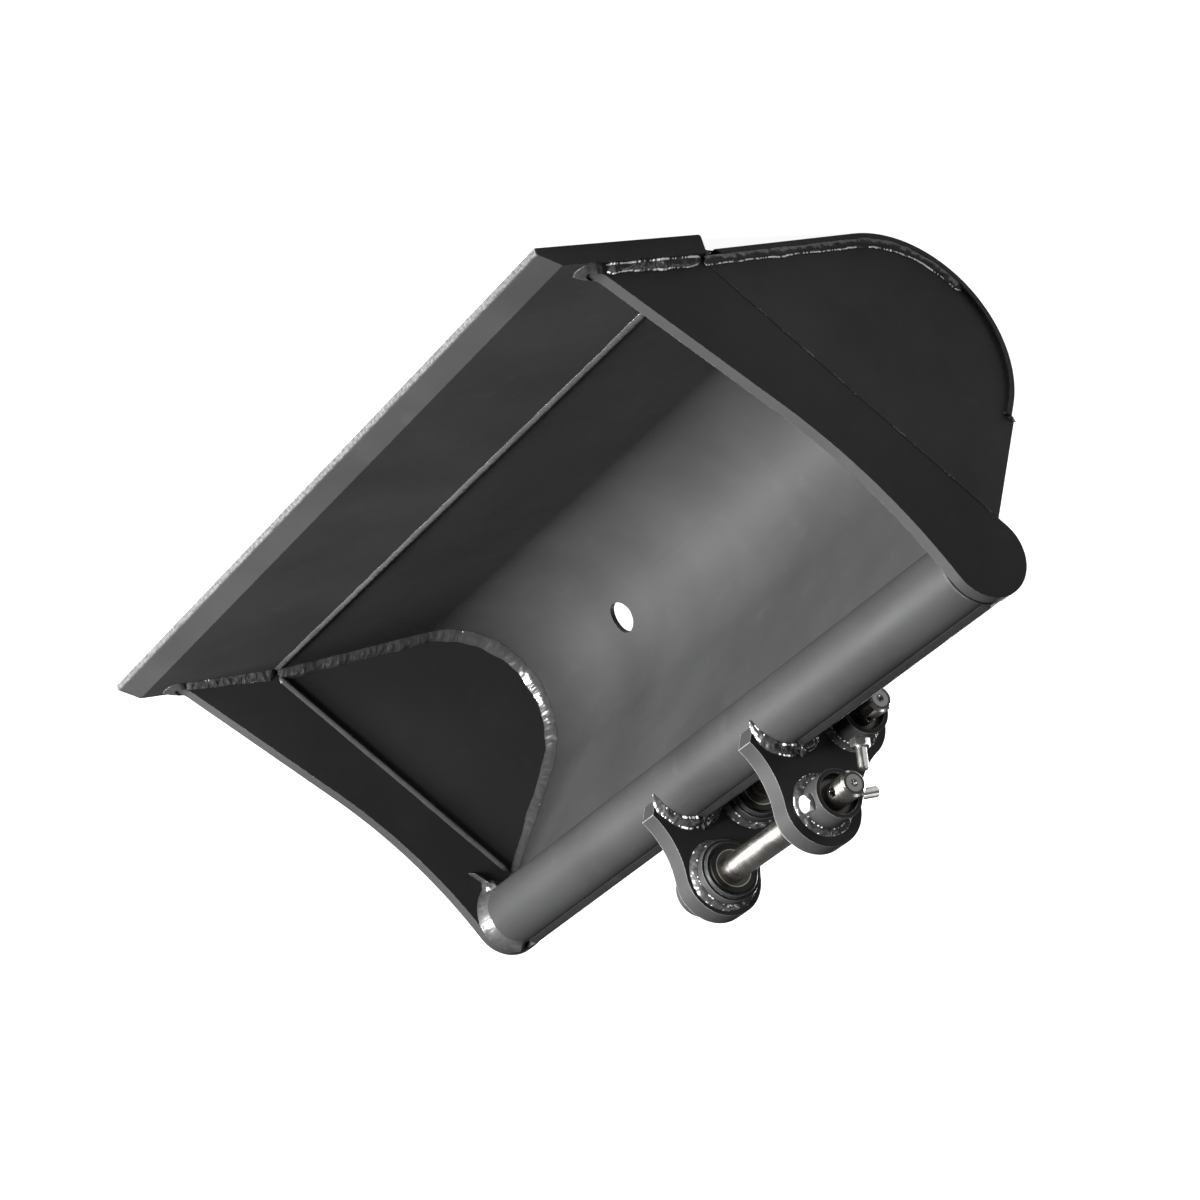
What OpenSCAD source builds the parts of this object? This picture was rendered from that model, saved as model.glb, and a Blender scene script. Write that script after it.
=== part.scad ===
// Grading and ditching bucket for a mini excavator: a toothless welded bucket
// with a thick cutting edge, a torque tube along its top lip and two hanger
// ears that carry the arm pin and the link pin.
// +X is the width, the mouth faces -Y, +Z is up and the bucket stands on its
// cutting edge and on the heel of its shell.

/* [Cutting edge] */
// Length of the cutting edge across the bucket
edge_w = 1100; // [800:10:1300]
// Depth of the cutting edge bar, front to back
edge_l = 190; // [160:2:210]
// Thickness of the cutting edge bar
edge_t = 20; // [16:1:25]
// Height of the blunt nose left at the front of the bevel
edge_nose = 6; // [4:0.5:10]
// Depth of the bevel ground on the top face
edge_bevel = 25; // [18:1:28]
// Radius of the lower rear corner
edge_corner_r = 3; // [1:0.5:5]

/* [Side bars] */
// Length by which the cutting edge stands out beyond each side bar
edge_overhang = 11.5; // [5:0.5:25]
// Thickness of a side bar
bar_t = 15; // [12:1:25]
// Radius of the round upper end of a side bar
bar_end_r = 45; // [45:0.5:50]
// Distance behind the nose at which the line of the mouth edge meets the cutting edge
mouth_foot_y = 67.5; // [62:0.5:74]
// Direction in which the straight lower part of the mouth edge rises, from the rearward line
mouth_dir = 45.7; // [44:0.1:47.5]
// Radius of the hollow upper part of the mouth edge
mouth_r = 680; // [560:20:900]
// Radius of the toe at the foot of the mouth edge
toe_r = 30; // [20:2:44]
// Blunt height at the tip of the toe
toe_h = 3; // [2:0.5:6]

/* [Shell] */
// Thickness of the bent shell plate
shell_t = 6; // [5:0.5:8]
// Inner radius of the bent heel
heel_r = 124; // [112:1:130]
// Distance from the nose of the cutting edge to the centre of the heel bend
heel_y = 400; // [392:1:410]
// Direction in which the back of the shell rises, from the floor's rearward line
back_angle = 125; // [123:0.5:128]
// Distance by which the shell stands proud of the rear side plates
shell_proud = 5; // [3:0.5:8]
// Diameter of a drain hole through the heel bend
drain_d = 38; // [16:1:44]
// Distance of each drain hole from the middle of the bucket
drain_x = 280; // [160:10:320]
// Direction of the drain holes from the centre of the heel bend, from the rearward line
drain_angle = -16; // [-30:1:10]

/* [Rear side plates] */
// Thickness of a rear side plate
plate_t = 10; // [6:0.5:12]
// Angle by which each rear side plate leans inwards
taper = 7; // [4:0.5:8]
// Distance from the end of the heel bend to the plate's shoulder
shoulder_at = 15; // [10:1:30]

/* [Torque tube] */
// Outer diameter of the torque tube
tube_d = 76; // [70:1:78]
// Wall of the torque tube
tube_wall = 8; // [5:0.5:12]
// Distance of the tube's axis behind the nose of the cutting edge
tube_y = 400; // [396:1:404]
// Height of the tube's axis above the ground
tube_z = 362; // [352:1:370]

/* [Back doubler] */
// Thickness of the doubler on the back and round the tube
doubler_t = 6; // [4:0.5:7]
// Clearance left between the doubler and the shell
doubler_seat = 0.05; // [0.02:0.01:0.2]
// Angle at which the doubler ends on top of the tube
doubler_end = 80; // [70:1:90]
// Outer bend radius where the doubler leaves the back for the tube
doubler_bend_r = 16; // [10:1:22]

/* [Hanger ears] */
// Thickness of an ear
ear_t = 25; // [18:1:30]
// Clear distance between the ears
ear_gap = 194; // [170:2:230]
// Arm pin axis behind the nose of the cutting edge
lower_pin_y = 416; // [410:1:420]
// Arm pin axis above the ground
lower_pin_z = 469; // [464:1:474]
// Link pin axis behind the nose of the cutting edge
upper_pin_y = 484; // [481:1:487]
// Link pin axis above the ground
upper_pin_z = 383; // [380:1:386]
// Radius of the ear round the arm pin
lower_lobe_r = 47; // [44:0.5:50]
// Radius of the ear round the link pin
upper_lobe_r = 45; // [42:0.5:46]
// Radius of the hollow front edge between the horn and the lobe
ear_front_r = 112; // [100:1:130]
// Radius of the waist between the two lobes
ear_waist_r = 90; // [80:1:140]
// Radius of the hollow rear edge above the foot
ear_rear_r = 100; // [90:1:160]
// Height above the ground at which the foot ends on the back
ear_foot_z = 262; // [255:1:275]

/* [Bosses and bushes] */
// Outer diameter of a pin boss
boss_d = 56; // [50:1:60]
// Length of a pin boss outside its ear
boss_l = 34; // [30:1:38]
// Diameter of the recess in the outer end of a boss
recess_d = 46; // [42.5:0.5:48]
// Depth of the recess in the outer end of a boss
recess_l = 10; // [3:0.5:10]
// Outer diameter of a collar on the inner face of an ear
collar_d = 72; // [64:1:78]
// Length of a collar
collar_l = 16; // [12:1:20]
// Outer diameter of the bush pressed through collar, ear and boss
bush_d = 40; // [37:0.5:42]
// Diameter of the bush's flange
bush_flange_d = 56; // [48:1:60]
// Thickness of the bush's flange
bush_flange_t = 7; // [4:0.5:10]

/* [Pins] */
// Diameter of a pin
pin_d = 30; // [28:0.5:32]
// Radial clearance of a pin in its bushes
pin_clear = 0.06; // [0.03:0.01:0.09]
// Length by which a pin stands out of its left boss
pin_out = 31; // [26:1:40]
// Length by which a pin stands out of its right boss
pin_far_out = 4; // [2:0.5:8]
// Chamfer on the pin's ends
pin_chamfer = 2.5; // [1:0.5:4]
// Mouth diameter of the lathe centre in the pin's end
centre_d = 7; // [5:0.5:9]
// Diameter of the spare cross hole near the pin's end
spare_hole_d = 11; // [9:0.5:12]
// Distance of the spare cross hole from the boss
spare_hole_at = 9; // [7:0.5:12]

/* [Retaining bolts] */
// Diameter of a retaining bolt
bolt_d = 12; // [10:1:14]
// Diameter of the cross hole for the bolt in boss, bush and pin
bolt_hole_d = 14; // [13.5:0.5:16]
// Distance of the bolt from the ear's outer face
bolt_at = 15; // [13:0.5:17]
// Width across flats of bolt head and nut
bolt_af = 19; // [17:0.5:22]
// Height of the bolt's head
head_h = 7.5; // [6:0.5:9]
// Height of the nut
nut_h = 10; // [8:0.5:12]
// Length of the bolt's tail beyond the nut
bolt_tail = 25; // [8:0.5:27]
// Depth of the spot face under head and nut
spot_face = 1.5; // [1.5:0.25:3]
// Direction of the arm pin's bolt, from the rearward line
lower_bolt_angle = 0; // [-10:1:10]
// Direction of the link pin's bolt, from the rearward line
upper_bolt_angle = 103; // [98:1:108]

/* [Hidden] */
$fn = 120;

paint = "#3a3b3d";
steel = "#b8b4ac";
zinc = "#d8d8d4";

// Width over the two side bars
body_w = edge_w - 2 * edge_overhang;
// Points of the side profile are [distance behind the nose, height].
heel_c = [heel_y, heel_r + shell_t];
tube_c = [tube_y, tube_z];
lower_c = [lower_pin_y, lower_pin_z];
upper_c = [upper_pin_y, upper_pin_z];
edge_rear = [edge_l, edge_t];
depth = max(heel_y + heel_r + shell_t, upper_pin_y + upper_lobe_r);
tube_r = tube_d / 2;
wrap_r = tube_r + doubler_t;
reach = 2 * edge_w;

function polar(c, r, a) = c + r * [cos(a), sin(a)];
function angle_to(p, q) = atan2(q[1] - p[1], q[0] - p[0]);
// Direction of the line from p that touches a circle, on the circle's side given by sgn
function tangent_dir(p, c, r, sgn) = angle_to(p, c) + sgn * asin(r / norm(c - p));
// Points of an arc, close enough together to look round
function arc(c, r, a0, a1) =
    let (n = ceil(abs(a1 - a0) / 3 * max(1, r / 200)))
    [for (i = [0:n]) polar(c, r, a0 + (a1 - a0) * i / n)];
// Arc of radius r about c, from the direction of p to the direction of q
function arc_between(c, r, p, q) = arc(c, r, angle_to(c, p), angle_to(c, q));
function reversed(v) = [for (i = [len(v) - 1:-1:0]) v[i]];
// Crossing of two circles, on the right of the line from p to q
function crossing(p, rp, q, rq) =
    let (d = norm(q - p), u = (q - p) / d, a = (rp * rp - rq * rq + d * d) / (2 * d))
    p + a * u + sqrt(rp * rp - a * a) * [u[1], -u[0]];
// Crossing of a line through p in direction a with a line through q in direction b
function line_crossing(p, a, q, b) =
    polar(p, ((q - p)[0] * sin(b) - (q - p)[1] * cos(b)) / sin(b - a), a);

// The floor is tangent to the heel bend and flush with the cutting edge's top.
floor_dir = tangent_dir(edge_rear, heel_c, heel_r, -1);
heel_end = polar(heel_c, heel_r, back_angle - 90);
back_len = norm(tube_c - heel_end);
back_top = polar(heel_end, back_len, back_angle);
shoulder = polar(heel_end, shoulder_at, back_angle);
proud_t = shell_t + doubler_seat + doubler_t;
shoulder_out = polar(shoulder, proud_t, back_angle - 90);

// The rear edge of a side bar is tangent to its round end.
bar_dir = tangent_dir(edge_rear, tube_c, bar_end_r, -1);
// The mouth edge is straight from its foot, then an arc that touches the round end.
mouth_foot = [mouth_foot_y, edge_t];
mouth_up = [cos(mouth_dir), sin(mouth_dir)];
mouth_out = [-sin(mouth_dir), cos(mouth_dir)];
foot_to_tube = tube_c - mouth_foot;
mouth_aside = mouth_r - foot_to_tube * mouth_out;
straight_len = foot_to_tube * mouth_up
               - sqrt(pow(mouth_r + bar_end_r, 2) - mouth_aside * mouth_aside);
mouth_c = mouth_foot + straight_len * mouth_up + mouth_r * mouth_out;
// The toe's arc touches the mouth edge and the blunt height at the toe's tip.
toe_c = [mouth_foot_y - (toe_r - (toe_h + toe_r) * mouth_out[1]) / mouth_up[1],
         edge_t + toe_h + toe_r];

// The outer edge of a rear side plate meets the side bar's rear edge.
plate_end = line_crossing(shoulder_out, back_angle, edge_rear, bar_dir);

// The doubler leaves the back in a bend that touches its wrap round the tube.
skin = polar(heel_end, shell_t + doubler_seat, back_angle - 90);
skin_out = polar(heel_end, proud_t, back_angle - 90);
back_dir = [cos(back_angle), sin(back_angle)];
back_out = [sin(back_angle), -cos(back_angle)];
wrap_up = (tube_c - skin_out) * back_dir;
wrap_aside = doubler_bend_r - (tube_c - skin_out) * back_out;
bend_up = wrap_up - sqrt(pow(wrap_r + doubler_bend_r, 2) - wrap_aside * wrap_aside);
bend_c = polar(polar(skin_out, bend_up, back_angle), doubler_bend_r, back_angle - 90);
wrap_start = angle_to(tube_c, bend_c);
bend_points = arc(bend_c, doubler_bend_r, back_angle + 90, wrap_start + 180);
wrap_points = arc(tube_c, wrap_r, wrap_start, doubler_end);

// Places along the width
ear_in = ear_gap / 2;
ear_out = ear_in + ear_t;
boss_out = ear_out + boss_l;
bolt_x = -(ear_out + bolt_at);
collar_in = ear_in - collar_l;
bush_in = collar_in - bush_flange_t;
pin_r = pin_d / 2;
bore_r = pin_r + pin_clear;
pin_left = -(boss_out + pin_out);
pin_right = boss_out + pin_far_out;
grip_r = boss_d / 2 - spot_face;
bolt_flat_r = bolt_af / 2 / cos(30);

// Origin under the middle of the bucket
module seated() {
    translate([0, -depth / 2, 0]) children();
}

// Extrudes a side profile along the width
module across(x0, x1) {
    translate([x0, 0, 0]) rotate([90, 0, 90]) linear_extrude(x1 - x0) children();
}

module mirrored(left) {
    if (left) children();
    else mirror([1, 0, 0]) children();
}

module both_sides() {
    children();
    mirror([1, 0, 0]) children();
}

// Slab parallel to the left rear plate, between two distances inside its outer face
module leaning(x0, x1) {
    translate([-body_w / 2, edge_rear[0], edge_rear[1]])
        rotate(a = -taper, v = [0, cos(bar_dir), sin(bar_dir)])
            translate([x0, -reach / 2, -reach / 2]) cube([x1 - x0, reach, reach]);
}

module edge_profile() {
    polygon([[0, 0], [edge_l - edge_corner_r, 0], [edge_l, edge_corner_r], edge_rear,
             [edge_bevel, edge_t], [0, edge_nose]]);
    translate([edge_l - edge_corner_r, edge_corner_r]) circle(edge_corner_r, $fn = 32);
}

module cutting_edge() {
    color(paint) seated() across(-edge_w / 2, edge_w / 2) edge_profile();
}

// Line of the floor and the heel bend, at a distance outside the inner face
function heel_line(t) =
    concat([[edge_l, edge_t - t / cos(floor_dir)]],
           arc(heel_c, heel_r + t, floor_dir - 90, back_angle - 90));

module shell_profile() {
    difference() {
        polygon(concat(heel_line(0), [back_top, polar(back_top, shell_t, back_angle - 90)],
                       reversed(heel_line(shell_t))));
        translate(tube_c) circle(tube_r);
    }
}

// Everything beyond the shoulder, up along the back
module above_shoulder() {
    translate(shoulder) rotate(back_angle) translate([0, -reach / 2]) square(reach);
}

// Cuts a plate of the back to fit between the rear side plates and the side bars
module trim_back() {
    difference() {
        children();
        both_sides() leaning(-reach, plate_t);
        both_sides() across(-edge_w, -body_w / 2 + bar_t) bar_profile();
    }
}

module shell() {
    color(paint) seated() difference() {
        across(-edge_w / 2, edge_w / 2) shell_profile();
        both_sides() leaning(-reach, -shell_proud);
        both_sides() intersection() {
            leaning(-reach, plate_t);
            across(-edge_w, edge_w) above_shoulder();
        }
        both_sides() across(-edge_w, -body_w / 2 + bar_t) bar_profile();
        both_sides() translate([drain_x, heel_c[0], heel_c[1]]) rotate([drain_angle, 0, 0])
            rotate([-90, 0, 0]) cylinder(h = heel_r + 3 * shell_t, d = drain_d, $fn = 48);
    }
}

module bar_profile() {
    polygon(concat([edge_rear],
                   arc(tube_c, bar_end_r, bar_dir - 90, angle_to(tube_c, mouth_c)),
                   arc(mouth_c, mouth_r, angle_to(mouth_c, tube_c), mouth_dir - 90),
                   arc(toe_c, toe_r, mouth_dir - 90, -90),
                   [[toe_c[0], edge_t]]));
}

module side_bar(left) {
    color(paint) seated() mirrored(left)
        across(-body_w / 2, -body_w / 2 + bar_t) bar_profile();
}

module plate_profile() {
    polygon(concat([edge_rear], arc(heel_c, heel_r, floor_dir - 90, back_angle - 90),
                   [shoulder, shoulder_out, plate_end]));
}

module side_plate(left) {
    color(paint) seated() mirrored(left) intersection() {
        across(-body_w / 2 - 1, 0) plate_profile();
        leaning(0, plate_t);
    }
}

module torque_tube() {
    half = body_w / 2 - bar_t;
    color(paint) seated() across(-half, half) translate(tube_c) difference() {
        circle(tube_r);
        circle(tube_r - tube_wall);
    }
}

// The doubler lies on the back, bends outwards and wraps the rear of the tube.
module doubler_profile() {
    difference() {
        polygon(concat([polar(skin, shoulder_at, back_angle), shoulder_out], bend_points, wrap_points,
                       [tube_c, polar(skin, wrap_up, back_angle)]));
        translate(tube_c) circle(tube_r);
    }
}

module back_doubler() {
    color(paint) seated() trim_back() across(-body_w / 2, body_w / 2) doubler_profile();
}

module ear_profile() {
    horn_tip = polar(tube_c, tube_r + 16, 151);
    front_c = crossing(lower_c, lower_lobe_r + ear_front_r, horn_tip, ear_front_r);
    waist_c = crossing(upper_c, upper_lobe_r + ear_waist_r, lower_c, lower_lobe_r + ear_waist_r);
    foot = polar(skin_out, (ear_foot_z - skin_out[1]) / sin(back_angle), back_angle);
    foot_lip = polar(foot, 9, back_angle - 90);
    rear_c = crossing(foot_lip, ear_rear_r, upper_c, upper_lobe_r + ear_rear_r);
    difference() {
        polygon(concat(arc_between(front_c, ear_front_r, horn_tip, lower_c),
                       arc(lower_c, lower_lobe_r, angle_to(front_c, lower_c) + 180,
                           angle_to(lower_c, waist_c)),
                       arc_between(waist_c, ear_waist_r, lower_c, upper_c),
                       arc_between(upper_c, upper_lobe_r, waist_c, rear_c),
                       arc(rear_c, ear_rear_r, angle_to(rear_c, upper_c),
                           angle_to(rear_c, foot_lip) + (angle_to(rear_c, foot_lip) < 0 ? 360 : 0)),
                       [foot], bend_points, wrap_points, arc(tube_c, tube_r, doubler_end, 168)));
        translate(lower_c) circle(boss_d / 2);
        translate(upper_c) circle(boss_d / 2);
    }
}

module ear(left) {
    color(paint) seated() mirrored(left) across(-ear_out, -ear_in) ear_profile();
}

// Turned piece on a pin's axis, from x0 to x1, with a bore
module sleeve(c, x0, x1, r_out, r_in) {
    translate([x0, c[0], c[1]]) rotate([0, 90, 0]) difference() {
        cylinder(h = x1 - x0, r = r_out);
        translate([0, 0, -1]) cylinder(h = x1 - x0 + 2, r = r_in);
    }
}

// Cross hole for the retaining bolt through a pin's axis
module cross_hole(c, a, d, x) {
    translate([x, c[0], c[1]]) rotate([a, 0, 0]) rotate([-90, 0, 0])
        cylinder(h = 3 * boss_d, d = d, center = true, $fn = 48);
}

// Spot faces for the head and the nut, cut flat into a round boss
module spot_faces(c, a) {
    for (side = [0, 180])
        translate([bolt_x, c[0], c[1]]) rotate([a + side, 0, 0]) rotate([-90, 0, 0])
            translate([0, 0, grip_r]) cylinder(h = boss_d, r = bolt_flat_r + 1, $fn = 48);
}

// Boss through the ear; the left one carries the retaining bolt
module boss(c, a, left) {
    color(paint) seated() difference() {
        mirrored(left) difference() {
            sleeve(c, -boss_out, -ear_in, boss_d / 2, bush_d / 2);
            sleeve(c, -boss_out - 1, -boss_out + recess_l, recess_d / 2, 0);
        }
        if (left) {
            cross_hole(c, a, bolt_hole_d, bolt_x);
            spot_faces(c, a);
        }
    }
}

module collar(c, left) {
    color(paint) seated() mirrored(left) sleeve(c, -ear_in, -collar_in, collar_d / 2, bush_d / 2);
}

// Flanged bush pressed in from between the ears
module bush(c, a, left) {
    color(steel) seated() difference() {
        mirrored(left) union() {
            sleeve(c, -boss_out + recess_l, -collar_in, bush_d / 2, bore_r);
            sleeve(c, -collar_in, -bush_in, bush_flange_d / 2, bore_r);
        }
        if (left) cross_hole(c, a, bolt_hole_d, bolt_x);
    }
}

module pin(c, a) {
    centre_r = centre_d / 2;
    color(steel) seated() difference() {
        translate([pin_left, c[0], c[1]]) rotate([0, 90, 0]) rotate_extrude()
            polygon([[0, centre_r], [centre_r, 0], [pin_r - pin_chamfer, 0], [pin_r, pin_chamfer],
                     [pin_r, pin_right - pin_left - pin_chamfer],
                     [pin_r - pin_chamfer, pin_right - pin_left],
                     [centre_r, pin_right - pin_left], [0, pin_right - pin_left - centre_r]]);
        cross_hole(c, a, bolt_hole_d, bolt_x);
        cross_hole(c, a, spare_hole_d, -(boss_out + spare_hole_at));
    }
}

// A hexagon with its corners chamfered, from h = 0 upwards
module hexagon(h) {
    intersection() {
        cylinder(h = h, r = bolt_flat_r, $fn = 6);
        rotate_extrude($fn = 48)
            polygon([[0, 0], [bolt_flat_r, 0], [bolt_flat_r, h * 0.8], [bolt_af / 2 - 0.3, h], [0, h]]);
    }
}

// Places a piece on the bolt's axis, pointing from the head to the nut
module on_bolt(c, a) {
    translate([bolt_x, c[0], c[1]]) rotate([a, 0, 0]) rotate([-90, 0, 0]) children();
}

module bolt(c, a) {
    tail = grip_r + nut_h + bolt_tail;
    color(zinc) seated() on_bolt(c, a) {
        translate([0, 0, -grip_r]) mirror([0, 0, 1]) hexagon(head_h);
        translate([0, 0, -grip_r]) rotate_extrude($fn = 48)
            polygon([[0, 0], [bolt_d / 2, 0], [bolt_d / 2, grip_r + tail - 1.5],
                     [bolt_d / 2 - 1.5, grip_r + tail], [0, grip_r + tail]]);
    }
}

module nut(c, a) {
    color(zinc) seated() on_bolt(c, a) translate([0, 0, grip_r]) difference() {
        hexagon(nut_h);
        translate([0, 0, -1]) cylinder(h = nut_h + 2, r = bolt_d / 2 + 0.08, $fn = 48);
    }
}

cutting_edge();
shell();
side_bar(true);  // side_bar_left
side_bar(false);  // side_bar_right
side_plate(true);  // side_plate_left
side_plate(false);  // side_plate_right
torque_tube();
back_doubler();
ear(true);  // ear_left
ear(false);  // ear_right
boss(lower_c, lower_bolt_angle, true);  // lower_boss_left
boss(lower_c, lower_bolt_angle, false);  // lower_boss_right
boss(upper_c, upper_bolt_angle, true);  // upper_boss_left
boss(upper_c, upper_bolt_angle, false);  // upper_boss_right
collar(lower_c, true);  // lower_collar_left
collar(lower_c, false);  // lower_collar_right
collar(upper_c, true);  // upper_collar_left
collar(upper_c, false);  // upper_collar_right
bush(lower_c, lower_bolt_angle, true);  // lower_bush_left
bush(lower_c, lower_bolt_angle, false);  // lower_bush_right
bush(upper_c, upper_bolt_angle, true);  // upper_bush_left
bush(upper_c, upper_bolt_angle, false);  // upper_bush_right
pin(lower_c, lower_bolt_angle);  // lower_pin
pin(upper_c, upper_bolt_angle);  // upper_pin
bolt(lower_c, lower_bolt_angle);  // lower_bolt
bolt(upper_c, upper_bolt_angle);  // upper_bolt
nut(lower_c, lower_bolt_angle);  // lower_nut
nut(upper_c, upper_bolt_angle);  // upper_nut
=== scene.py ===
import math
import bmesh
import bpy
from mathutils import Matrix, Vector, noise


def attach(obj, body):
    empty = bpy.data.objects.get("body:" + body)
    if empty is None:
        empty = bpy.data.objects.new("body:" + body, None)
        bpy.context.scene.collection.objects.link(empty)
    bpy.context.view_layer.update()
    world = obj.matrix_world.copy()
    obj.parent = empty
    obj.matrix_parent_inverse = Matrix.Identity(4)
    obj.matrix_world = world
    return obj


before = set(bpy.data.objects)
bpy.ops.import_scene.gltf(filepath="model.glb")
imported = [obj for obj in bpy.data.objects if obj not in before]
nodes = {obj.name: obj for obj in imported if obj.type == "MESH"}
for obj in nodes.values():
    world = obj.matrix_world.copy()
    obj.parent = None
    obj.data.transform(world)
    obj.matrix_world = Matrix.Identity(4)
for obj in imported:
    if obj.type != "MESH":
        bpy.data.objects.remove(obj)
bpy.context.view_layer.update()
scene = bpy.context.scene

# Sizes of the part in mm, as in part.scad. A pair is (distance behind the nose of the edge, height),
# an angle is in degrees from straight back (+Y) towards up (+Z).
NOSE = 265.0            # the nose lies this far in front of the frame's origin
EDGE_T = 20.0
FLOOR_DIR = -3.8919
BACK = 125.0
HEEL = (400.0, 130.0)
HEEL_R = 124.0
HEEL_START = (391.584, 6.286)
HEEL_END = (501.575, 201.123)
SHELL_T = 6.0
DOUBLER_T = 6.0
TUBE = (400.0, 362.0)
TUBE_R = 38.0
WRAP_R = TUBE_R + DOUBLER_T
SEAM = (190.0, EDGE_T)  # lower end of the line where side bar and rear plate meet
BAR_DIR = 52.0106
BAR_X = 538.5
BAR_IN = 523.5
PLATE_LEAN = math.tan(math.radians(7.0))
PLATE_ACROSS = 10.075   # a 10 mm plate measured along x
LOWER = (416.0, 469.0)
UPPER = (484.0, 383.0)
EAR_IN = 97.0
EAR_OUT = 122.0
EAR_FOOT = 262.0        # height of the ears' lower end on the back
BOSS_R = 28.0
COLLAR_R = 36.0
COLLAR_STEP = ((28.2, 81.2), (28.2, 77.4), (31.2, 77.0), (32.4, 78.4), (32.8, 81.2))

# Looks
DARK = (0.0148, 0.0152, 0.0149)
DUST = (0.085, 0.083, 0.08)
CHIP = (0.16, 0.155, 0.15)
# light grey of the painted highlight along the ears' edges
RIM_HIGHLIGHT = (0.26, 0.26, 0.255)
SCUFF = (0.062, 0.062, 0.061)
GRIME = (0.12, 0.10, 0.085)


def cs(a):
    """Cosine and sine of an angle in degrees."""
    return math.cos(math.radians(a)), math.sin(math.radians(a))


def V(x, y, z):
    return Vector((x, y, z))


def yz(c, r, a, x=0.0):
    """Point at radius r and angle a round the centre c."""
    return V(x, c[0] + r * cs(a)[0], c[1] + r * cs(a)[1])


def along(a, length=1.0):
    """Vector of the given length at angle a."""
    return V(0, length * cs(a)[0], length * cs(a)[1])


# ---------------------------------------------------------------- materials
def tree(name):
    mat = bpy.data.materials.new(name)
    mat.use_nodes = True
    nt = mat.node_tree
    nt.nodes.clear()
    out = nt.nodes.new("ShaderNodeOutputMaterial")
    bsdf = nt.nodes.new("ShaderNodeBsdfPrincipled")
    nt.links.new(bsdf.outputs[0], out.inputs[0])
    coord = nt.nodes.new("ShaderNodeTexCoord")
    return mat, nt, bsdf, coord.outputs["Object"]


def tex_noise(nt, vec, scale, detail=3.0, rough=0.5, stretch=None):
    if stretch:
        m = nt.nodes.new("ShaderNodeMapping")
        m.inputs["Scale"].default_value = stretch
        nt.links.new(vec, m.inputs[0])
        vec = m.outputs[0]
    n = nt.nodes.new("ShaderNodeTexNoise")
    n.inputs["Scale"].default_value = scale
    n.inputs["Detail"].default_value = detail
    n.inputs["Roughness"].default_value = rough
    nt.links.new(vec, n.inputs["Vector"])
    return n.outputs["Fac"]


def ramp(nt, fac, stops):
    """stops is a list of (position, grey)."""
    r = nt.nodes.new("ShaderNodeValToRGB")
    els = r.color_ramp.elements
    while len(els) < len(stops):
        els.new(0.5)
    for e, (p, c) in zip(els, stops):
        e.position = p
        e.color = (c, c, c, 1)
    nt.links.new(fac, r.inputs[0])
    return r.outputs[0]


def mix(nt, fac, a, b):
    """a where fac is 0 and b where it is 1; each is a colour or a socket."""
    m = nt.nodes.new("ShaderNodeMix")
    m.data_type = "RGBA"
    nt.links.new(fac, m.inputs[0])
    for sock, v in ((m.inputs[6], a), (m.inputs[7], b)):
        if isinstance(v, tuple):
            sock.default_value = (*v, 1)
        else:
            nt.links.new(v, sock)
    return m.outputs[2]


def bump(nt, height, strength, distance, normal):
    b = nt.nodes.new("ShaderNodeBump")
    b.inputs["Strength"].default_value = strength
    b.inputs["Distance"].default_value = distance
    nt.links.new(height, b.inputs["Height"])
    nt.links.new(normal, b.inputs["Normal"])
    return b.outputs[0]


def math_node(nt, op, a, b=None):
    m = nt.nodes.new("ShaderNodeMath")
    m.operation = op
    for sock, v in zip(m.inputs, (a, b)):
        if isinstance(v, (int, float)):
            sock.default_value = v
        elif v is not None:
            nt.links.new(v, sock)
    return m.outputs[0]


def edge_mask(nt, radius):
    """White near the edges of the plates, and the rounded normal there."""
    bev = nt.nodes.new("ShaderNodeBevel")
    bev.samples = 4
    bev.inputs["Radius"].default_value = radius
    geo = nt.nodes.new("ShaderNodeNewGeometry")
    dot = nt.nodes.new("ShaderNodeVectorMath")
    dot.operation = "DOT_PRODUCT"
    nt.links.new(bev.outputs[0], dot.inputs[0])
    nt.links.new(geo.outputs["Normal"], dot.inputs[1])
    return ramp(nt, dot.outputs["Value"], ((0.90, 1.0), (0.985, 0.0))), bev.outputs[0]


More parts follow.
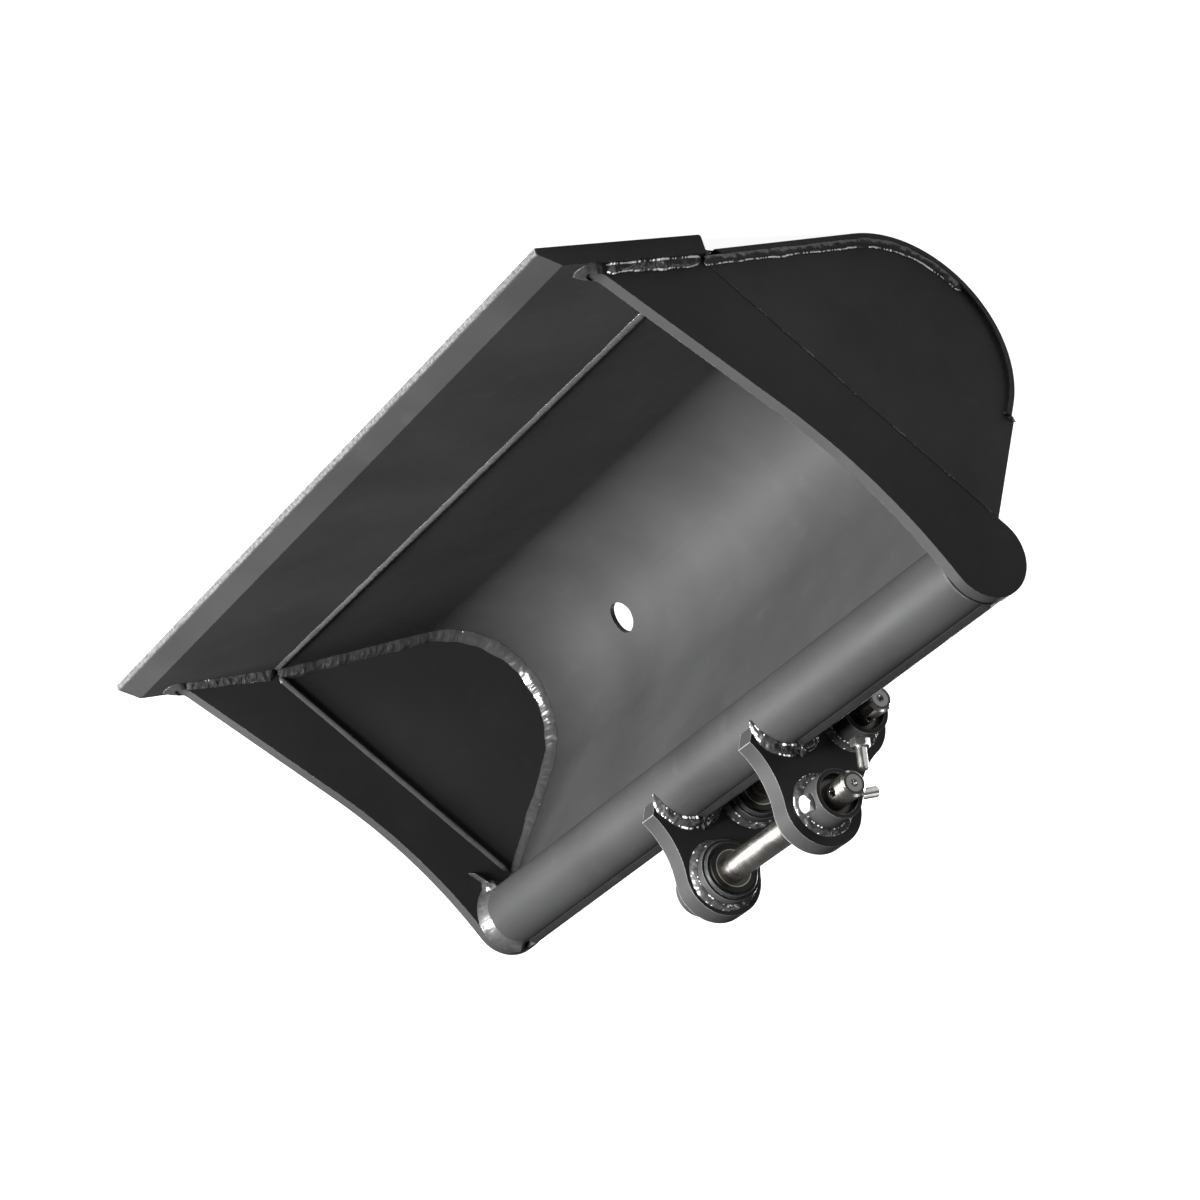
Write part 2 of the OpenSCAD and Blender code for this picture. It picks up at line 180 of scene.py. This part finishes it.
def paint_material(name, base, rough, orange, wear=0.35, coat=0.0, spec=0.075, lumps=0.0, rim=0.0,
                   nose=False, glint=0.0):
    """Black paint.

    orange is the orange peel, wear the bare edges, rim a painted highlight along the edges, nose the scuffed
    strip and glint the painted highlights, bright flecks put into the colour.
    """
    mat, nt, bsdf, vec = tree(name)
    dark = tuple(c * 0.82 for c in base)
    light = tuple(c * 1.25 for c in base)
    broad = tex_noise(nt, vec, 5.0, 4.0)
    colour = mix(nt, ramp(nt, broad, ((0.3, 0.0), (0.75, 1.0))), dark, light)
    dust = tex_noise(nt, vec, 34.0, 6.0, 0.65)
    colour = mix(nt, ramp(nt, dust, ((0.58, 0.0), (0.85, 0.07))), colour, DUST)
    edge, normal = edge_mask(nt, 0.0012)
    chip = tex_noise(nt, vec, 210.0, 4.0, 0.6)
    bare = math_node(nt, "MULTIPLY", edge, ramp(nt, chip, ((0.48, 0.0), (0.62, wear))))
    colour = mix(nt, bare, colour, CHIP)
    # painted highlight: a lighter line along the edges, where rounded edges would catch the light
    if rim:
        colour = mix(nt, math_node(nt, "MULTIPLY", edge, rim), colour, RIM_HIGHLIGHT)
    if nose:
        # bare, scuffed strip on the blunt nose
        sep = nt.nodes.new("ShaderNodeSeparateXYZ")
        nt.links.new(vec, sep.inputs[0])
        strip = between(nt, sep.outputs[1], -(NOSE + 5.0) / 1000, -(NOSE - 1.5) / 1000, 0.0007)
        grain = ramp(nt, tex_noise(nt, vec, 260.0, 5.0, 0.7), ((0.42, 0.15), (0.62, 1.0)))
        colour = mix(nt, math_node(nt, "MULTIPLY", strip, grain), colour, SCUFF)
    if glint:
        # painted highlights: tiny bright flecks in the colour where the bead's toes would catch the light
        att = nt.nodes.new("ShaderNodeAttribute")
        att.attribute_name = "painted_glint"
        fleck = ramp(nt, att.outputs["Fac"], ((0.3, 0.0), (0.6, 1.0)))
        colour = mix(nt, fleck, colour, (glint, glint, glint))
    nt.links.new(colour, bsdf.inputs["Base Color"])
    r = ramp(nt, tex_noise(nt, vec, 18.0, 5.0, 0.6), ((0.3, rough * 0.86), (0.72, rough * 1.18)))
    nt.links.new(r, bsdf.inputs["Roughness"])
    bsdf.inputs["Specular IOR Level"].default_value = spec
    bsdf.inputs["Coat Weight"].default_value = coat
    bsdf.inputs["Coat Roughness"].default_value = 0.12
    n = bump(nt, tex_noise(nt, vec, 420.0, 2.0), orange, 0.0004, normal)
    n = bump(nt, tex_noise(nt, vec, 9.0, 2.0), 0.05, 0.004, n)
    if lumps:
        n = bump(nt, tex_noise(nt, vec, 190.0, 2.0), lumps, 0.002, n)
    nt.links.new(n, bsdf.inputs["Normal"])
    return mat


def facing_x(nt):
    """White on faces square to the pins' axes."""
    coord = nt.nodes.new("ShaderNodeTexCoord")
    sep = nt.nodes.new("ShaderNodeSeparateXYZ")
    nt.links.new(coord.outputs["Normal"], sep.inputs[0])
    return ramp(nt, math_node(nt, "ABSOLUTE", sep.outputs[0]), ((0.9, 0.0), (0.97, 1.0)))


def radius_from(nt, vec, centre):
    """Distance in mm from a pin's axis."""
    sep = nt.nodes.new("ShaderNodeSeparateXYZ")
    nt.links.new(vec, sep.inputs[0])
    dy = math_node(nt, "SUBTRACT", sep.outputs[1], (centre[0] - NOSE) / 1000)
    dz = math_node(nt, "SUBTRACT", sep.outputs[2], centre[1] / 1000)
    dd = math_node(nt, "ADD", math_node(nt, "MULTIPLY", dy, dy), math_node(nt, "MULTIPLY", dz, dz))
    return math_node(nt, "MULTIPLY", math_node(nt, "SQRT", dd), 1000.0)


def between(nt, value, low, high, soft):
    """White where value lies between low and high."""
    a = nt.nodes.new("ShaderNodeMapRange")
    a.inputs["From Min"].default_value = low - soft
    a.inputs["From Max"].default_value = low + soft
    nt.links.new(value, a.inputs["Value"])
    b = nt.nodes.new("ShaderNodeMapRange")
    b.inputs["From Min"].default_value = high - soft
    b.inputs["From Max"].default_value = high + soft
    b.inputs["To Min"].default_value = 1.0
    b.inputs["To Max"].default_value = 0.0
    nt.links.new(value, b.inputs["Value"])
    return math_node(nt, "MULTIPLY", a.outputs[0], b.outputs[0])


def metal_material(name, base, rough, stretch, line_scale, line_strength, dirt, centre=None):
    """Steel or zinc with turning lines, stretched along the pins; centre is the axis of a pin or bush."""
    mat, nt, bsdf, vec = tree(name)
    colour = mix(nt, ramp(nt, tex_noise(nt, vec, 60.0, 4.0), ((0.35, 0.0), (0.75, 1.0))),
                 tuple(c * 0.9 for c in base), tuple(min(1.0, c * 1.08) for c in base))
    grime = ramp(nt, tex_noise(nt, vec, 110.0, 6.0, 0.7), ((0.56, 0.0), (0.78, dirt)))
    colour = mix(nt, grime, colour, GRIME)
    if centre and name.startswith("pin"):
        # the faced ends are dull, with a darker rim, and the dark centre is painted shade of the centre hole
        ends = facing_x(nt)
        away = radius_from(nt, vec, centre)
        shade = mix(nt, between(nt, away, 4.2, 9.6, 0.3), (0.035, 0.035, 0.035), (0.15, 0.15, 0.148))
        colour = mix(nt, ends, colour, shade)
    if centre and name.startswith("bush"):
        # paint on the flange, dark steel round the bore that is partly painted shade of the recess, and a
        # bright rim between them
        away = radius_from(nt, vec, centre)
        colour = mix(nt, between(nt, away, 21.6, 60.0, 0.2), colour, (0.022, 0.022, 0.022))
        colour = mix(nt, between(nt, away, 20.8, 21.8, 0.2), colour, (0.30, 0.29, 0.27))
    nt.links.new(colour, bsdf.inputs["Base Color"])
    bsdf.inputs["Metallic"].default_value = 1.0
    nt.links.new(ramp(nt, tex_noise(nt, vec, 45.0, 4.0), ((0.3, rough * 0.8), (0.75, rough * 1.25))),
                 bsdf.inputs["Roughness"])
    _, normal = edge_mask(nt, 0.0005)
    lines = tex_noise(nt, vec, line_scale, 2.0, 0.5, stretch)
    nt.links.new(bump(nt, lines, line_strength, 0.0002, normal), bsdf.inputs["Normal"])
    return mat


paint = paint_material("paint_black", DARK, 0.5, 0.12)
# ears, bosses and collars carry a painted highlight along their edges
paint_ear = paint_material("paint_ear", DARK, 0.42, 0.12, rim=0.6)
paint_edge = paint_material("paint_edge", DARK, 0.5, 0.12, nose=True)
# the weld and seam paints carry painted highlights (glint) in their colour
paint_weld = paint_material("paint_on_weld", (0.026, 0.0265, 0.026), 0.28, 0.05, wear=0.0, coat=0.35,
                            spec=0.35, lumps=0.12, glint=0.8)
paint_seam = paint_material("paint_seam", DARK, 0.5, 0.12, wear=0.0, glint=0.13)
# near-black paint: painted shade on the bead at the doubler's upper end
painted_shade_paint = paint_material("painted_shade_in_corner", (0.0050, 0.0051, 0.0050), 0.7, 0.05, wear=0.0)
paint_rough = paint_material("paint_on_rough_weld", (0.024, 0.024, 0.024), 0.5, 0.4, wear=0.0,
                             spec=0.25, lumps=0.5, glint=0.4)
steel_looks = {}
turned = (1.0, 0.06, 0.06)
for pin, c in (("lower", LOWER), ("upper", UPPER)):
    steel_looks[pin + "_pin"] = metal_material(
        "pin_steel_" + pin, (0.52, 0.50, 0.47), 0.24, turned, 900.0, 0.35, 0.5, c)
    # the bushes' dark steel is partly their own colour and partly painted shade of the recess round the pins
    steel_looks[pin + "_bush"] = metal_material(
        "bush_steel_" + pin, (0.060, 0.056, 0.05), 0.42, turned, 900.0, 0.4, 0.7, c)
zinc = metal_material("zinc", (0.50, 0.50, 0.48), 0.33, (1, 1, 1), 300.0, 0.2, 0.4)

for name, obj in nodes.items():
    mat = paint
    for key in steel_looks:
        if name.startswith(key):
            mat = steel_looks[key]
    if name.endswith(("_bolt", "_nut")):
        mat = zinc
    elif name.startswith("ear_") or "_boss" in name or "_collar" in name:
        mat = paint_ear
    elif name == "cutting_edge":
        mat = paint_edge
    obj.data.materials.clear()
    obj.data.materials.append(mat)
    for layer in ("custom_normal", "sharp_edge"):
        if layer in obj.data.attributes:
            obj.data.attributes.remove(obj.data.attributes[layer])
    for p in obj.data.polygons:
        p.use_smooth = True
    weld = obj.modifiers.new("join_faces", "WELD")
    weld.merge_threshold = 0.00001
    split = obj.modifiers.new("split_edges", "EDGE_SPLIT")
    split.split_angle = math.radians(24)
    split.use_edge_sharp = False
    even = obj.modifiers.new("even_normals", "WEIGHTED_NORMAL")
    even.weight = 60


# ---------------------------------------------------------------- weld beads
SQUARE = 0.6    # taper of an end that runs into another piece
STEP = 1.3      # distance of the bead's cross sections
PITCH = 4.6     # distance of its ripples
FACE = 8        # facets across its face


def bead(name, path, mat, bulge=0.14, seed=0.0, wobble=0.10, scallop=0.04, lumps=0.07, sparks=0.3,
         toes=(0.1, 0.9), taper=(8.0, 8.0), closed=False):
    """Weld laid along path, a list of (root, leg_a, leg_b, out) in mm.

    bulge raises its face, wobble changes its width, scallop is its ripples and lumps its unevenness.
    sparks is the share of painted highlights, bright flecks for the colour, and toes says where on the face
    they lie, from leg_a 0 to leg_b 1.
    """
    samples = []
    total = 0.0
    for (p, q) in zip(path, path[1:]):
        d = (q[0] - p[0]).length
        if d < 1e-6:
            d = (q[1] - p[1]).length * 0.5
        n = max(1, int(round(d / STEP)))
        for i in range(n):
            t = i / n
            samples.append((total + d * t, [p[k].lerp(q[k], t) for k in range(4)]))
        total += d
    samples.append((total, list(path[-1])))
    verts, faces, bright = [], [], []
    for s, (root, a, b, out) in samples:
        if closed:
            end = 1.0
        else:
            end = math.sqrt(max(0.0, min(1.0, (s + 0.6) / taper[0], (total - s + 0.6) / taper[1])))
        leg = 0.5 * (a.length + b.length)
        wide = 1.0 + wobble * noise.noise(Vector((s * 0.045, seed, 0.3))) * 2.0
        patch = noise.noise(Vector((s * 0.05, seed, 9.0)))
        for j in range(FACE + 1):
            t = j / FACE
            bow = math.sin(math.pi * t)
            u = (s + 0.75 * PITCH * bow) / PITCH + 0.35 * noise.noise(Vector((s * 0.03, seed + 7.0, 1.0)))
            saw = u - math.floor(u)
            lift = scallop * (1.0 - 2.0 * abs(saw - 0.35) ** 0.7) * (0.35 + bow)
            blob = lumps * noise.noise(Vector((s * 0.16, t * 1.7 + seed * 3.1, seed)))
            blob += 0.5 * lumps * noise.noise(Vector((s * 0.42, t * 3.1, seed + 20.0)))
            grow = (wide + 0.45 * lift + 0.8 * blob) * end
            p = root + a * ((1 - t) * grow) + b * (t * grow) \
                + out * (leg * end * (bulge * bow + 0.5 * lift * bow + 1.3 * blob * bow))
            verts.append(p)
            # painted highlights along the toe lines, passed to the paint's colour
            line = max(math.exp(-((t - toe) / 0.09) ** 2) for toe in toes)
            fleck = noise.noise(Vector((s * 0.55, t * 2.0, seed + 5.0))) + 0.9 * patch
            fleck += 2.0 * sparks - 1.0
            bright.append(max(0.0, min(1.0, 3.0 * fleck)) * line)
        verts.append(root - out * 0.6)
        bright.append(0.0)
    k = FACE + 2
    rows = len(samples)
    for i in range(rows - 1):
        for j in range(k):
            j2 = (j + 1) % k
            faces.append((i * k + j, i * k + j2, (i + 1) * k + j2, (i + 1) * k + j))
    faces.append(tuple(range(k)))
    faces.append(tuple(reversed(range((rows - 1) * k, rows * k))))
    piece(name, verts, faces, mat, 70, bright)


def piece(name, verts, faces, mat, sharp, bright=None):
    """A painted piece that rides on the bucket; verts are in mm, sharp is the angle of its sharp edges."""
    me = bpy.data.meshes.new(name)
    me.from_pydata([(v[0] / 1000, (v[1] - NOSE) / 1000, v[2] / 1000) for v in verts], [], faces)
    # faces outwards
    bm = bmesh.new()
    bm.from_mesh(me)
    bmesh.ops.recalc_face_normals(bm, faces=bm.faces[:])
    bm.to_mesh(me)
    bm.free()
    # painted highlights of a bead, read by the paint's colour
    if bright:
        me.attributes.new("painted_glint", "FLOAT", "POINT").data.foreach_set("value", bright)
    me.validate()
    me.update()
    for p in me.polygons:
        p.use_smooth = True
    me.set_sharp_from_angle(angle=math.radians(sharp))
    me.materials.append(mat)
    ob = bpy.data.objects.new(name, me)
    scene.collection.objects.link(ob)
    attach(ob, "bucket")


def lathe(name, centre, side, profile, mat):
    """Closed ring turned about a pin's axis; profile is a list of (radius, distance from the middle)."""
    n, k = 96, len(profile)
    verts, faces = [], []
    for i in range(n):
        for r, x in profile:
            verts.append(yz(centre, r, 360.0 * i / n, side * x))
        for j in range(k):
            a, b = i * k + j, i * k + (j + 1) % k
            c, d = ((i + 1) % n) * k + (j + 1) % k, ((i + 1) % n) * k + j
            faces.append((a, b, c, d) if side > 0 else (a, d, c, b))
    piece(name, verts, faces, mat, 35)


def flip(path):
    """The same path on the bucket's other side."""
    return [tuple(V(-v.x, v.y, v.z) for v in s) for s in path]


def behind(y, z):
    """Distance behind the line where side bar and rear plate meet."""
    c, s = cs(BAR_DIR)
    return (y - SEAM[0]) * s - (z - SEAM[1]) * c


def plate_x(y, z, inner=False):
    """x of the left rear plate's outer or inner face."""
    return -BAR_X + behind(y, z) * PLATE_LEAN + (PLATE_ACROSS if inner else 0.0)


def fillet(root, sx, a, leg_x, leg_r):
    """One section of a fillet with one leg along x, to the side sx, and one at angle a."""
    return root, V(sx * leg_x, 0, 0), along(a, leg_r), (V(sx, 0, 0) + along(a)).normalized()


def heel_points(a_end, start):
    """(y, z, inward direction) along the floor and round the heel."""
    pts = []
    n = 24
    for i in range(n):
        t = i / n
        y = SEAM[0] + start + (HEEL_START[0] - SEAM[0] - start) * t
        z = SEAM[1] + (y - SEAM[0]) * math.tan(math.radians(FLOOR_DIR))
        pts.append((y, z, FLOOR_DIR + 90))
    a0 = FLOOR_DIR - 90
    n = 48
    for i in range(n + 1):
        a = a0 + (a_end - a0) * i / n
        p = yz(HEEL, HEEL_R, a)
        pts.append((p.y, p.z, a + 180))
    return pts


def heel_path(a_end, inner, leg_a, leg_b, start):
    """Path along the shell's inner face where it meets the left rear plate's outer or inner face."""
    path = []
    for y, z, inward in heel_points(a_end, start):
        up = along(inward)
        slope = behind(y + up.y, z + up.z) - behind(y, z)
        b = V(slope * PLATE_LEAN, up.y, up.z).normalized()
        a = V(1 if inner else -1, 0, 0)
        path.append((V(plate_x(y, z, inner), y, z), a * leg_a, b * leg_b, (a + b).normalized()))
    return path


heel_end = V(0, *HEEL_END)
for side, tag in ((False, "left"), (True, "right")):
    def both(path):
        return flip(path) if side else path

    seed = 11.0 if side else 3.0
    # outer and inner bead along the foot of the side bar
    outer = [(V(-BAR_X, y, EDGE_T), V(-leg, 0, 0), V(0, 0, leg), V(-0.7, 0, 0.7))
             for y, leg in ((189.0, 7.0), (150.0, 8.5), (110.0, 8.0), (84.0, 8.5), (74.0, 7.0))]
    bead("weld_toe_" + tag, both(outer), paint_weld, seed=seed, wobble=0.2, lumps=0.16, sparks=0.66)
    inner = [(V(-BAR_IN, y, EDGE_T), V(leg, 0, 0), V(0, 0, leg), V(0.7, 0, 0.7))
             for y, leg in ((66.0, 5.0), (84.0, 8.0), (120.0, 9.0), (189.0, 10.0))]
    bead("weld_bar_inside_" + tag, both(inner), paint_rough, bulge=0.05, seed=seed + 1, wobble=0.12,
         scallop=0.02, lumps=0.10, sparks=0.3)
    # ground fan of weld in front of the toe
    fan = [(V(x, y, EDGE_T), V(ax, ay, 0), V(bx, by, bz), V(ax, ay, 8).normalized())
           for x, y, ax, ay, bx, by, bz in ((-538.5, 80, -10, -2, 0, 1, 9), (-538.5, 66, -10.5, -4, 0, 2, 7),
                                            (-536, 59, -8, -8, 1, 3, 4.6), (-531, 58, -1, -10, 0, 4, 4.4),
                                            (-526, 59, 5, -8, -1, 3, 4.6), (-523.5, 64, 8, -3, 0, 2, 6),
                                            (-523.5, 76, 7, 0, 0, 0, 7))]
    bead("weld_fan_" + tag, both(fan), paint, bulge=0.05, seed=seed + 12, wobble=0.06, scallop=0.0, lumps=0.06)
    bead("weld_shell_outside_" + tag, both(heel_path(-30.0, False, 5.0, 9.0, 1.0)), paint_weld,
         seed=seed + 2, lumps=0.07, sparks=0.66, toes=(0.85,), taper=(SQUARE, 8.0))
    # fill behind the overhanging end of the cutting edge
    fill = [(V(-BAR_X, 189.5, z), V(-leg, 0, 0), V(0, 1.3 * leg, 0), V(-0.7, 0.7, 0))
            for z, leg in ((20.0, 10.0), (16.0, 10.0), (12.5, 8.0))]
    bead("weld_edge_back_" + tag, both(fill), paint, bulge=-0.1, seed=seed + 13, wobble=0.02, scallop=0.0,
         lumps=0.02, taper=(SQUARE, SQUARE))
    # the inner bead follows the heel and runs up the back as far as the tube
    inside = heel_path(33.0, True, 11.0, 11.0, 0.0)
    for k in range(1, 20):
        p = heel_end + along(BACK, 8.0 * k)
        x = plate_x(p.y, p.z, True) if behind(p.y, p.z) > 0 else -BAR_IN
        leg = 11.0 - 0.2 * k
        inside.append(fillet(V(x, p.y, p.z), 1, BACK + 90, leg, leg))
    bead("weld_shell_inside_" + tag, both(inside), paint_weld, seed=seed + 3, scallop=0.02, lumps=0.04,
         sparks=0.2)
    # broad smooth fillet at the end of the tube
    ring = [fillet(yz(TUBE, TUBE_R - 0.5, a, -BAR_IN), 1, a, 15, 9)
            for a in (84 + (298 - 84) * i / 60 for i in range(61))]
    bead("weld_tube_end_" + tag, both(ring), paint_weld, bulge=-0.12, seed=seed + 4, wobble=0.05,
         scallop=0.0, lumps=0.02, sparks=0.12, toes=(0.9,))
    if side:
        # a lump and a fin where the right one was closed
        lump = [fillet(yz(TUBE, TUBE_R, a, -BAR_IN), 1, a, leg, leg)
                for a, leg in ((224, 4), (232, 10), (242, 14), (252, 11), (262, 4))]
        fin = [(yz(TUBE, r, a, -BAR_IN), V(9, 0, 0), along(a + 90, 6), V(1, 0, 0))
               for a, r in ((242, 38), (240, 50), (237, 62), (235, 72))]
        bead("weld_tube_lump", both(lump), paint_weld, bulge=0.25, seed=seed + 14, lumps=0.16, sparks=0.45)
        bead("weld_tube_fin", both(fin), paint_weld, bulge=0.2, seed=seed + 17, lumps=0.12, sparks=0.4)
    # butt weld between side bar and rear plate, nearly flush outside and rounded inside
    butt, step = [], []
    w = along(BAR_DIR + 90)
    for k in range(3):
        p = V(-BAR_X, *SEAM) + along(BAR_DIR, 10 + 186 * k)
        butt.append((p, w * 2, -w * 2, V(-1, 0, 0)))
        q = V(-BAR_IN, *SEAM) + along(BAR_DIR, 6 + 180 * k)
        step.append((q - V(3, 0, 0), w * 6 + V(3.1, 0, 0), -w * 5 - V(1, 0, 0), V(1, 0, 0)))
    bead("weld_seam_" + tag, both(butt), paint_seam, bulge=0.03, seed=seed + 5, wobble=0.2, lumps=0.02,
         sparks=0.42, toes=(0.35, 0.65))
    bead("weld_step_" + tag, both(step), paint_weld, bulge=0.85, seed=seed + 15, wobble=0.05, scallop=0.0,
         lumps=0.02, sparks=0.05)
    # drop of weld at the shoulder of the rear plate
    drop = [(V(plate_x(y, z), y, z), V(-leg, 0, 0), along(BACK, leg), V(-0.7, 0, 0.7))
            for y, z, leg in ((493, 210, 2), (498, 215, 4), (501, 218, 4), (504, 222, 2))]
    bead("weld_shoulder_" + tag, both(drop), paint_weld, bulge=0.3, seed=seed + 16, sparks=0.5)

    # ears: from the horn round the tube, over the doubler and down the back
    skin = heel_end + along(BACK - 90, SHELL_T + DOUBLER_T)
    top = skin + along(BACK, 112.0)
    foot = skin + along(BACK, (EAR_FOOT - skin.z) / cs(BACK)[1])
    for face, x, sx, more in (("out", -EAR_OUT, -1, 6), ("in", -EAR_IN, 1, 7)):
        path = []
        # the face towards the bucket's left starts with a spike at the horn
        a0 = 176 if (sx < 0) != side else 166
        for i in range(25):
            a = a0 - (a0 - 81) * i / 24
            leg = 4.0 + 6.5 * min(1.0, i / 9.0)
            path.append(fillet(yz(TUBE, TUBE_R, a, x), sx, a, leg * 0.85, leg))
        for i in range(31):
            a = 79 - (79 + 37) * i / 30
            path.append(fillet(yz(TUBE, WRAP_R, a, x), sx, a, 9, 9))
        for p in (top, (top + foot) / 2, foot):
            path.append(fillet(V(x, p.y, p.z), sx, BACK - 90, 8, 8))
        bead("weld_ear_" + face + "_" + tag, both(path), paint_weld, bulge=0.18, seed=seed + more,
             wobble=0.14, lumps=0.15, sparks=0.5)

    # rings round the bosses and the collars, and the turned steps on the collars
    for pin, c in (("lower", LOWER), ("upper", UPPER)):
        ring = [fillet(yz(c, BOSS_R, 5.0 * i, -EAR_OUT), -1, 5.0 * i, 6, 8.5) for i in range(73)]
        collar = [fillet(yz(c, COLLAR_R, 5.0 * i, -EAR_IN), 1, 5.0 * i, 6.5, 6.5) for i in range(73)]
        bead("weld_" + pin + "_boss_" + tag, both(ring), paint_weld, seed=seed + 9, wobble=0.12, lumps=0.12,
             sparks=0.5, closed=True)
        bead("weld_" + pin + "_collar_" + tag, both(collar), paint_weld, seed=seed + 10, lumps=0.1,
             sparks=0.42, closed=True)
        lathe("collar_step_" + pin + "_" + tag, c, 1 if side else -1, COLLAR_STEP, paint_ear)

# floor seam, underside seam, lower edge and upper end of the doubler
seam = [(V(x, *SEAM), V(0, -6, 0), along(FLOOR_DIR, 6), V(0, 0, 1)) for x in (-516, 0, 516)]
bead("weld_floor_seam", seam, paint_weld, bulge=0.4, seed=40, sparks=0.05)
under = [(V(x, 190, 13.9), V(0, 0, -6), V(0, 17, -1.16), V(0, 0.7, -0.7)) for x in (-538, 0, 538)]
bead("weld_under_seam", under, paint, bulge=-0.05, seed=41, wobble=0.05, scallop=0.0, lumps=0.04,
     taper=(SQUARE, SQUARE))
shoulder = heel_end + along(BACK, 15) + along(BACK - 90, SHELL_T)
low = [(V(x, shoulder.y, shoulder.z), along(BACK + 180, 6), along(BACK - 90, 5.4), along(BACK - 135))
       for x in (-505, 0, 505)]
bead("weld_doubler_low", low, paint_weld, seed=42)
# the beads at the doubler's upper end are painted shade where the doubler meets the tube
for k, (x0, x1) in enumerate(((-511, -130), (-89, 89), (130, 511))):
    high = [(yz(TUBE, TUBE_R, 80, x), along(170, 7.0), along(80, 6.3), along(125))
            for x in (x0, (x0 + x1) / 2, x1)]
    bead("weld_doubler_high_%d" % k, high, painted_shade_paint, bulge=0.0, seed=43 + k, wobble=0.05, scallop=0.0,
         lumps=0.03)


# ---------------------------------------------------------------- floor, light, camera
me = bpy.data.meshes.new("floor")
half, level = 30.0, -0.0003
me.from_pydata([(-half, -half, level), (half, -half, level), (half, half, level), (-half, half, level)],
               [], [(0, 1, 2, 3)])
floor = bpy.data.objects.new("floor", me)
scene.collection.objects.link(floor)
mat, nt, bsdf, vec = tree("floor_pale")
pale = mix(nt, tex_noise(nt, vec, 1.5, 3.0), (0.30, 0.30, 0.30), (0.34, 0.34, 0.34))
nt.links.new(pale, bsdf.inputs["Base Color"])
bsdf.inputs["Emission Color"].default_value = (1, 1, 1, 1)
bsdf.inputs["Roughness"].default_value = 0.9
bsdf.inputs["Specular IOR Level"].default_value = 0.1
bsdf.inputs["Emission Strength"].default_value = 0.94
floor.data.materials.append(mat)


def area(name, place, aim, size, power):
    """Soft light at place that points at aim; metres and watts."""
    light = bpy.data.lights.new(name, "AREA")
    light.shape = "RECTANGLE"
    light.size, light.size_y = size
    light.energy = power
    ob = bpy.data.objects.new(name, light)
    scene.collection.objects.link(ob)
    ob.location = place
    ob.rotation_euler = (Vector(aim) - Vector(place)).to_track_quat("-Z", "Y").to_euler()


area("key", (0.9, -3.3, 0.66), (0.2, 0, 0.25), (2.6, 0.8), 1110.0)
area("catch_high", (-1.25, 1.5, 2.35), (-0.4, 0, 0.1), (0.25, 0.25), 8.0)
area("catch_low", (-2.1, -3.0, 0.5), (0, 0, 0.3), (0.25, 0.2), 3.0)
area("fill", (-0.42, -2.2, 0.5), (0.5, 0.1, 0.15), (0.4, 0.4), 90.0)
area("rear", (1.1, 2.7, 0.5), (0.1, 0.2, 0.0), (1.8, 0.6), 90.0)
sun = bpy.data.lights.new("top", "SUN")
sun.energy = 0.5
sun.angle = math.radians(40)
top = bpy.data.objects.new("top", sun)
scene.collection.objects.link(top)
top.rotation_euler = (math.radians(-20), math.radians(-2), 0)

world = bpy.data.worlds.new("studio")
world.use_nodes = True
world.node_tree.nodes["Background"].inputs[0].default_value = (1, 1, 1, 1)
world.node_tree.nodes["Background"].inputs[1].default_value = 0.1
scene.world = world

# the camera fitted to the photograph, which looks at the bucket nearly upside down
cam_data = bpy.data.cameras.new("camera")
cam_data.sensor_fit = "HORIZONTAL"
cam_data.sensor_width = 36.0
cam_data.lens = 122.29
cam_data.clip_end = 100.0
cam = bpy.data.objects.new("camera", cam_data)
scene.collection.objects.link(cam)
right = Vector((-0.45318, 0.83861, 0.30227))
back = -Vector((0.8006, 0.53201, -0.2757))
right = (right - back * right.dot(back) / back.length_squared).normalized()
back.normalize()
up = back.cross(right)
turn = Matrix((right, up, back)).transposed().to_4x4()
cam.matrix_world = Matrix.Translation((-3.5285, -2.2987, 1.3825)) @ turn
scene.camera = cam
scene.view_settings.view_transform = "Standard"
